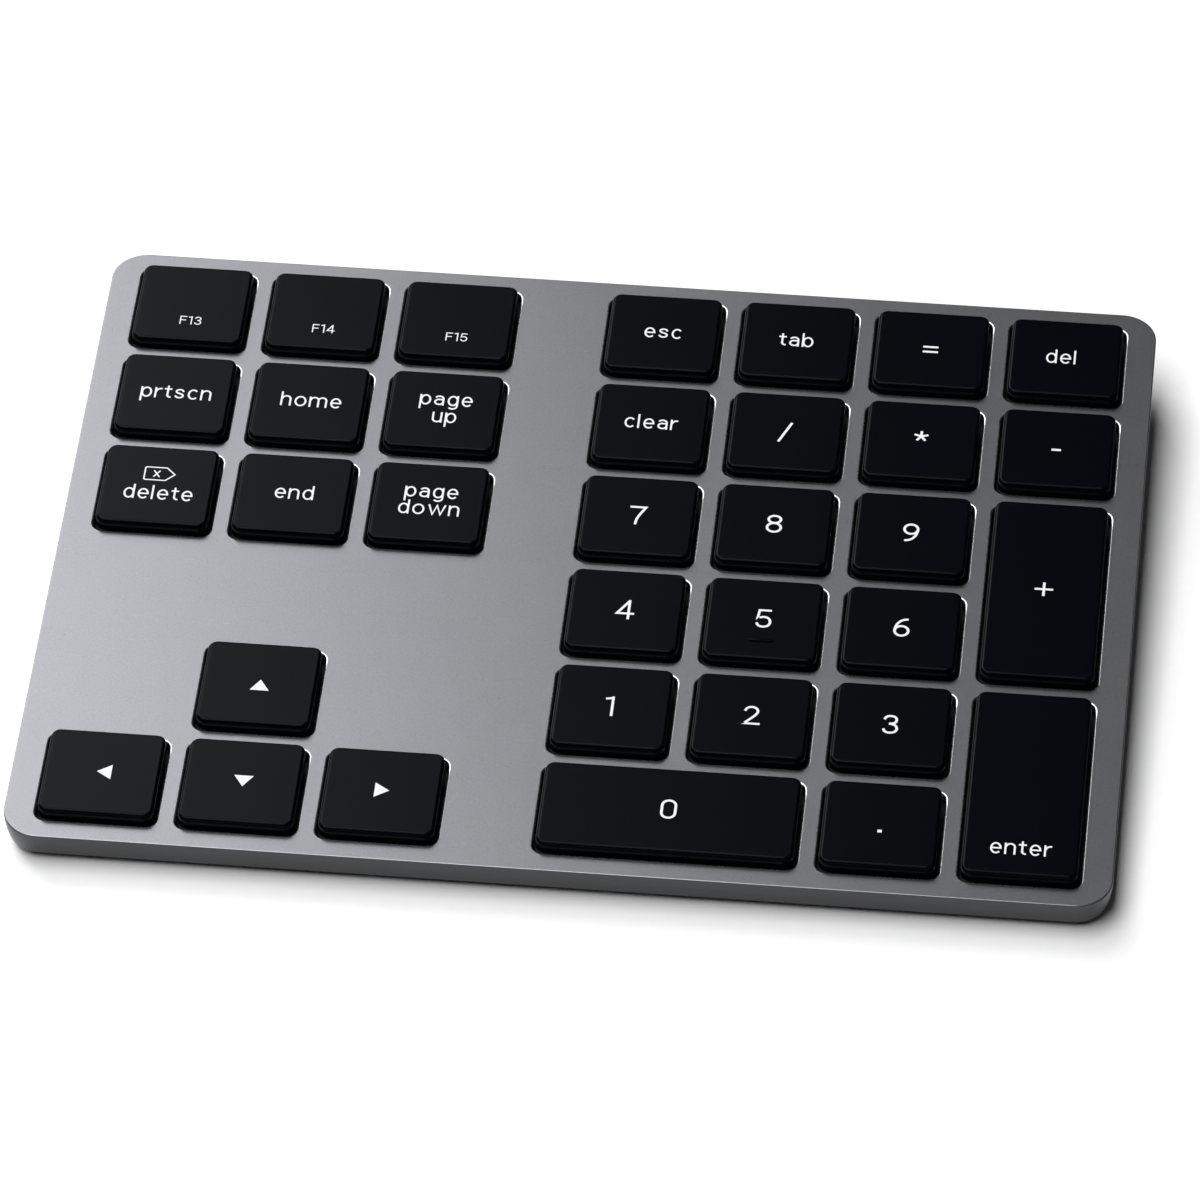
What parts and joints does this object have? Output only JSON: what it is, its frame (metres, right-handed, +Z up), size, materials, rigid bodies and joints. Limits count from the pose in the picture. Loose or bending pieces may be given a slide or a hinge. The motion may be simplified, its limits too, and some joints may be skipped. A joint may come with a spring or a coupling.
{
  "type": "numeric keypad",
  "caption": "Slim wireless number pad with navigation keys: metal tray, low scissor keys, wedge base, rear charging port and power switch.",
  "frame": {"origin": "on the surface that the feet stand on, under the middle of the tray", "axes": "+X to the right along the width, +Y towards the back edge, +Z up"},
  "size_m": [0.1498, 0.1144, 0.0125],
  "materials": {
    "anodised_aluminium": "bead blasted and anodised space grey, satin, with bright cut chamfers round the key openings",
    "keycap_abs": "moulded black ABS, fine satin texture, white printed legends",
    "black_abs_base": "moulded black ABS, fine spark texture",
    "steel": "stamped, as rolled",
    "polyester_film": "clear film with printed silver tracks",
    "silicone": "milky moulded silicone",
    "circuit_board": "green solder mask",
    "battery_foil": "silver laminate pouch",
    "port_steel": "drawn stainless steel shell",
    "light_diffuser": "milky light pipe",
    "screw_steel": "black zinc",
    "foot_rubber": "matt moulded rubber"
  },
  "bodies": {
    "case": {"top_case": "anodised_aluminium", "bottom_cover": "black_abs_base", "key_backplate": "steel", "switch_membrane": "polyester_film", "dome_sheet": "silicone", "case_screw_1": "screw_steel", "case_screw_2": "screw_steel", "case_screw_3": "screw_steel", "case_screw_4": "screw_steel", "case_screw_5": "screw_steel", "case_screw_6": "screw_steel", "foot_front_left": "foot_rubber", "foot_front_right": "foot_rubber", "foot_back_left": "foot_rubber", "foot_back_right": "foot_rubber", "main_board": "circuit_board", "battery_pack": "battery_foil", "usb_c_port": "port_steel", "power_switch_body": "port_steel", "status_light_pipe": "light_diffuser", "cable_connector": "black_abs_base", "radio_shield": "steel"},
    "key_f13": {"key_f13": "keycap_abs"},
    "key_f14": {"key_f14": "keycap_abs"},
    "key_f15": {"key_f15": "keycap_abs"},
    "key_print_screen": {"key_print_screen": "keycap_abs"},
    "key_home": {"key_home": "keycap_abs"},
    "key_page_up": {"key_page_up": "keycap_abs"},
    "key_forward_delete": {"key_forward_delete": "keycap_abs"},
    "key_end": {"key_end": "keycap_abs"},
    "key_page_down": {"key_page_down": "keycap_abs"},
    "key_arrow_up": {"key_arrow_up": "keycap_abs"},
    "key_arrow_left": {"key_arrow_left": "keycap_abs"},
    "key_arrow_down": {"key_arrow_down": "keycap_abs"},
    "key_arrow_right": {"key_arrow_right": "keycap_abs"},
    "key_escape": {"key_escape": "keycap_abs"},
    "key_tab": {"key_tab": "keycap_abs"},
    "key_equals": {"key_equals": "keycap_abs"},
    "key_delete": {"key_delete": "keycap_abs"},
    "key_clear": {"key_clear": "keycap_abs"},
    "key_divide": {"key_divide": "keycap_abs"},
    "key_multiply": {"key_multiply": "keycap_abs"},
    "key_minus": {"key_minus": "keycap_abs"},
    "key_7": {"key_7": "keycap_abs"},
    "key_8": {"key_8": "keycap_abs"},
    "key_9": {"key_9": "keycap_abs"},
    "key_plus": {"key_plus": "keycap_abs"},
    "key_4": {"key_4": "keycap_abs"},
    "key_5": {"key_5": "keycap_abs"},
    "key_6": {"key_6": "keycap_abs"},
    "key_1": {"key_1": "keycap_abs"},
    "key_2": {"key_2": "keycap_abs"},
    "key_3": {"key_3": "keycap_abs"},
    "key_enter": {"key_enter": "keycap_abs"},
    "key_0": {"key_0": "keycap_abs"},
    "key_point": {"key_point": "keycap_abs"},
    "stabiliser_wire_0": {"stabiliser_wire_0": "steel"},
    "stabiliser_wire_plus": {"stabiliser_wire_plus": "steel"},
    "stabiliser_wire_enter": {"stabiliser_wire_enter": "steel"},
    "power_switch_knob": {"power_switch_knob": "black_abs_base"}
  },
  "joints": [
    {"name": "press_f13", "type": "slide", "parent": "case", "child": "key_f13", "axis": [0, 0.0523, -0.9986], "range_m": [0, 0.0015], "stiffness_N_per_m": 300, "springref_m": -0.0015, "deforming": ["dome_sheet"]},
    {"name": "press_f14", "type": "slide", "parent": "case", "child": "key_f14", "axis": [0, 0.0523, -0.9986], "range_m": [0, 0.0015], "stiffness_N_per_m": 300, "springref_m": -0.0015, "deforming": ["dome_sheet"]},
    {"name": "press_f15", "type": "slide", "parent": "case", "child": "key_f15", "axis": [0, 0.0523, -0.9986], "range_m": [0, 0.0015], "stiffness_N_per_m": 300, "springref_m": -0.0015, "deforming": ["dome_sheet"]},
    {"name": "press_print_screen", "type": "slide", "parent": "case", "child": "key_print_screen", "axis": [0, 0.0523, -0.9986], "range_m": [0, 0.0015], "stiffness_N_per_m": 300, "springref_m": -0.0015, "deforming": ["dome_sheet"]},
    {"name": "press_home", "type": "slide", "parent": "case", "child": "key_home", "axis": [0, 0.0523, -0.9986], "range_m": [0, 0.0015], "stiffness_N_per_m": 300, "springref_m": -0.0015, "deforming": ["dome_sheet"]},
    {"name": "press_page_up", "type": "slide", "parent": "case", "child": "key_page_up", "axis": [0, 0.0523, -0.9986], "range_m": [0, 0.0015], "stiffness_N_per_m": 300, "springref_m": -0.0015, "deforming": ["dome_sheet"]},
    {"name": "press_forward_delete", "type": "slide", "parent": "case", "child": "key_forward_delete", "axis": [0, 0.0523, -0.9986], "range_m": [0, 0.0015], "stiffness_N_per_m": 300, "springref_m": -0.0015, "deforming": ["dome_sheet"]},
    {"name": "press_end", "type": "slide", "parent": "case", "child": "key_end", "axis": [0, 0.0523, -0.9986], "range_m": [0, 0.0015], "stiffness_N_per_m": 300, "springref_m": -0.0015, "deforming": ["dome_sheet"]},
    {"name": "press_page_down", "type": "slide", "parent": "case", "child": "key_page_down", "axis": [0, 0.0523, -0.9986], "range_m": [0, 0.0015], "stiffness_N_per_m": 300, "springref_m": -0.0015, "deforming": ["dome_sheet"]},
    {"name": "press_arrow_up", "type": "slide", "parent": "case", "child": "key_arrow_up", "axis": [0, 0.0523, -0.9986], "range_m": [0, 0.0015], "stiffness_N_per_m": 300, "springref_m": -0.0015, "deforming": ["dome_sheet"]},
    {"name": "press_arrow_left", "type": "slide", "parent": "case", "child": "key_arrow_left", "axis": [0, 0.0523, -0.9986], "range_m": [0, 0.0015], "stiffness_N_per_m": 300, "springref_m": -0.0015, "deforming": ["dome_sheet"]},
    {"name": "press_arrow_down", "type": "slide", "parent": "case", "child": "key_arrow_down", "axis": [0, 0.0523, -0.9986], "range_m": [0, 0.0015], "stiffness_N_per_m": 300, "springref_m": -0.0015, "deforming": ["dome_sheet"]},
    {"name": "press_arrow_right", "type": "slide", "parent": "case", "child": "key_arrow_right", "axis": [0, 0.0523, -0.9986], "range_m": [0, 0.0015], "stiffness_N_per_m": 300, "springref_m": -0.0015, "deforming": ["dome_sheet"]},
    {"name": "press_escape", "type": "slide", "parent": "case", "child": "key_escape", "axis": [0, 0.0523, -0.9986], "range_m": [0, 0.0015], "stiffness_N_per_m": 300, "springref_m": -0.0015, "deforming": ["dome_sheet"]},
    {"name": "press_tab", "type": "slide", "parent": "case", "child": "key_tab", "axis": [0, 0.0523, -0.9986], "range_m": [0, 0.0015], "stiffness_N_per_m": 300, "springref_m": -0.0015, "deforming": ["dome_sheet"]},
    {"name": "press_equals", "type": "slide", "parent": "case", "child": "key_equals", "axis": [0, 0.0523, -0.9986], "range_m": [0, 0.0015], "stiffness_N_per_m": 300, "springref_m": -0.0015, "deforming": ["dome_sheet"]},
    {"name": "press_delete", "type": "slide", "parent": "case", "child": "key_delete", "axis": [0, 0.0523, -0.9986], "range_m": [0, 0.0015], "stiffness_N_per_m": 300, "springref_m": -0.0015, "deforming": ["dome_sheet"]},
    {"name": "press_clear", "type": "slide", "parent": "case", "child": "key_clear", "axis": [0, 0.0523, -0.9986], "range_m": [0, 0.0015], "stiffness_N_per_m": 300, "springref_m": -0.0015, "deforming": ["dome_sheet"]},
    {"name": "press_divide", "type": "slide", "parent": "case", "child": "key_divide", "axis": [0, 0.0523, -0.9986], "range_m": [0, 0.0015], "stiffness_N_per_m": 300, "springref_m": -0.0015, "deforming": ["dome_sheet"]},
    {"name": "press_multiply", "type": "slide", "parent": "case", "child": "key_multiply", "axis": [0, 0.0523, -0.9986], "range_m": [0, 0.0015], "stiffness_N_per_m": 300, "springref_m": -0.0015, "deforming": ["dome_sheet"]},
    {"name": "press_minus", "type": "slide", "parent": "case", "child": "key_minus", "axis": [0, 0.0523, -0.9986], "range_m": [0, 0.0015], "stiffness_N_per_m": 300, "springref_m": -0.0015, "deforming": ["dome_sheet"]},
    {"name": "press_7", "type": "slide", "parent": "case", "child": "key_7", "axis": [0, 0.0523, -0.9986], "range_m": [0, 0.0015], "stiffness_N_per_m": 300, "springref_m": -0.0015, "deforming": ["dome_sheet"]},
    {"name": "press_8", "type": "slide", "parent": "case", "child": "key_8", "axis": [0, 0.0523, -0.9986], "range_m": [0, 0.0015], "stiffness_N_per_m": 300, "springref_m": -0.0015, "deforming": ["dome_sheet"]},
    {"name": "press_9", "type": "slide", "parent": "case", "child": "key_9", "axis": [0, 0.0523, -0.9986], "range_m": [0, 0.0015], "stiffness_N_per_m": 300, "springref_m": -0.0015, "deforming": ["dome_sheet"]},
    {"name": "press_plus", "type": "slide", "parent": "case", "child": "key_plus", "axis": [0, 0.0523, -0.9986], "range_m": [0, 0.0015], "stiffness_N_per_m": 300, "springref_m": -0.0015, "deforming": ["dome_sheet"]},
    {"name": "press_4", "type": "slide", "parent": "case", "child": "key_4", "axis": [0, 0.0523, -0.9986], "range_m": [0, 0.0015], "stiffness_N_per_m": 300, "springref_m": -0.0015, "deforming": ["dome_sheet"]},
    {"name": "press_5", "type": "slide", "parent": "case", "child": "key_5", "axis": [0, 0.0523, -0.9986], "range_m": [0, 0.0015], "stiffness_N_per_m": 300, "springref_m": -0.0015, "deforming": ["dome_sheet"]},
    {"name": "press_6", "type": "slide", "parent": "case", "child": "key_6", "axis": [0, 0.0523, -0.9986], "range_m": [0, 0.0015], "stiffness_N_per_m": 300, "springref_m": -0.0015, "deforming": ["dome_sheet"]},
    {"name": "press_1", "type": "slide", "parent": "case", "child": "key_1", "axis": [0, 0.0523, -0.9986], "range_m": [0, 0.0015], "stiffness_N_per_m": 300, "springref_m": -0.0015, "deforming": ["dome_sheet"]},
    {"name": "press_2", "type": "slide", "parent": "case", "child": "key_2", "axis": [0, 0.0523, -0.9986], "range_m": [0, 0.0015], "stiffness_N_per_m": 300, "springref_m": -0.0015, "deforming": ["dome_sheet"]},
    {"name": "press_3", "type": "slide", "parent": "case", "child": "key_3", "axis": [0, 0.0523, -0.9986], "range_m": [0, 0.0015], "stiffness_N_per_m": 300, "springref_m": -0.0015, "deforming": ["dome_sheet"]},
    {"name": "press_enter", "type": "slide", "parent": "case", "child": "key_enter", "axis": [0, 0.0523, -0.9986], "range_m": [0, 0.0015], "stiffness_N_per_m": 300, "springref_m": -0.0015, "deforming": ["dome_sheet"]},
    {"name": "press_0", "type": "slide", "parent": "case", "child": "key_0", "axis": [0, 0.0523, -0.9986], "range_m": [0, 0.0015], "stiffness_N_per_m": 300, "springref_m": -0.0015, "deforming": ["dome_sheet"]},
    {"name": "press_point", "type": "slide", "parent": "case", "child": "key_point", "axis": [0, 0.0523, -0.9986], "range_m": [0, 0.0015], "stiffness_N_per_m": 300, "springref_m": -0.0015, "deforming": ["dome_sheet"]},
    {"name": "tip_stabiliser_0", "type": "hinge", "parent": "case", "child": "stabiliser_wire_0", "pos_m": [0.01468, -0.05155, 0.00374], "axis": [-1, 0, 0], "range_deg": [0, 12.43]},
    {"name": "tip_stabiliser_plus", "type": "hinge", "parent": "case", "child": "stabiliser_wire_plus", "pos_m": [0.0679, -0.00002, 0.00644], "axis": [0, -0.9986, -0.0523], "range_deg": [0, 12.43]},
    {"name": "tip_stabiliser_enter", "type": "hinge", "parent": "case", "child": "stabiliser_wire_enter", "pos_m": [0.0679, -0.03677, 0.00452], "axis": [0, -0.9986, -0.0523], "range_deg": [0, 12.43]},
    {"name": "slide_power_switch", "type": "slide", "parent": "case", "child": "power_switch_knob", "axis": [1, 0, 0], "range_m": [0, 0.002]}
  ],
  "couplings": [
    {"joint": "tip_stabiliser_0", "follows": "press_0", "rad_per_m": 144.09},
    {"joint": "tip_stabiliser_plus", "follows": "press_plus", "rad_per_m": 144.09},
    {"joint": "tip_stabiliser_enter", "follows": "press_enter", "rad_per_m": 144.09}
  ]
}
